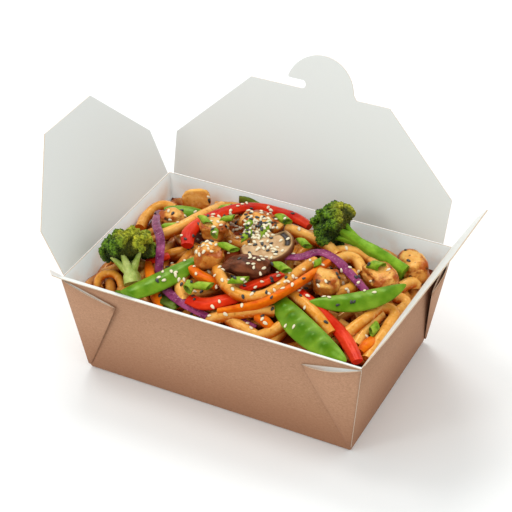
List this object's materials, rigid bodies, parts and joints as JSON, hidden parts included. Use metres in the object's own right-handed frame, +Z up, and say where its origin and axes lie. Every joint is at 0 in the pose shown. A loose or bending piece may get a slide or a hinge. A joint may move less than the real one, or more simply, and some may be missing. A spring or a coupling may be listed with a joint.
{
  "type": "kraft takeaway box of stir-fried noodles",
  "caption": "Open folded kraft board box with three lid flaps, filled with stir-fried thick noodles, chicken, mushrooms and mixed vegetables under sesame and spring onion.",
  "frame": {"origin": "middle of the underside of the base, where the box rests", "axes": "+X to the right along the long side, +Y to the back flap with the hook tab, +Z up"},
  "size_m": [0.2344, 0.1466, 0.1484],
  "materials": {
    "kraft_board": "matt, brown outside and white inside",
    "noodle": "sauced, glossy",
    "broccoli": "cooked, satin",
    "pea_pod": "glossy",
    "red_pepper": "glossy",
    "carrot": "glossy",
    "red_cabbage": "glossy",
    "mushroom": "browned, satin",
    "chicken": "browned, satin",
    "spring_onion": "fresh, satin"
  },
  "bodies": {
    "box": {"bean_stalk": "pea_pod", "box_tray": "kraft_board", "broccoli_left": "broccoli", "broccoli_right": "broccoli", "cabbage_arch": "red_cabbage", "cabbage_front": "red_cabbage", "cabbage_left": "red_cabbage", "carrot_bent": "carrot", "carrot_corner": "carrot", "carrot_front": "carrot", "carrot_left": "carrot", "carrot_long": "carrot", "chicken_1": "chicken", "chicken_2": "chicken", "chicken_3": "chicken", "chicken_4": "chicken", "chicken_5": "chicken", "chicken_6": "chicken", "chicken_7": "chicken", "leaf_front": "broccoli", "mushroom_cap": "mushroom", "mushroom_slice": "mushroom", "noodle_heap": "noodle", "noodle_sheet": "noodle", "pea_pod_back": "pea_pod", "pea_pod_front": "pea_pod", "pea_pod_left": "pea_pod", "pea_pod_right": "pea_pod", "pepper_arc": "red_pepper", "pepper_front": "red_pepper", "pepper_long": "red_pepper", "pepper_middle": "red_pepper", "pepper_small": "red_pepper", "spring_onion_01": "spring_onion", "spring_onion_02": "spring_onion", "spring_onion_03": "spring_onion", "spring_onion_04": "spring_onion", "spring_onion_05": "spring_onion", "spring_onion_06": "spring_onion", "spring_onion_07": "spring_onion", "spring_onion_08": "spring_onion", "spring_onion_09": "spring_onion", "spring_onion_10": "spring_onion", "spring_onion_11": "spring_onion", "spring_onion_12": "spring_onion", "spring_onion_13": "spring_onion", "spring_onion_14": "spring_onion", "spring_onion_15": "spring_onion", "spring_onion_16": "spring_onion", "spring_onion_17": "spring_onion", "spring_onion_18": "spring_onion"},
    "left_flap": {"flap_left": "kraft_board"},
    "right_flap": {"flap_right": "kraft_board"},
    "back_flap": {"flap_back": "kraft_board"}
  },
  "joints": [
    {"name": "left_crease", "type": "hinge", "parent": "box", "child": "left_flap", "pos_m": [-0.0875, 0, 0.064], "axis": [0, 1, 0], "range_deg": [-56, 48]},
    {"name": "right_crease", "type": "hinge", "parent": "box", "child": "right_flap", "pos_m": [0.08875, 0, 0.064], "axis": [-0.0214, -0.9998, 0], "range_deg": [-49, 36]},
    {"name": "back_crease", "type": "hinge", "parent": "box", "child": "back_flap", "pos_m": [0, 0.0585, 0.064], "axis": [1, 0, 0], "range_deg": [-62, 16]}
  ]
}
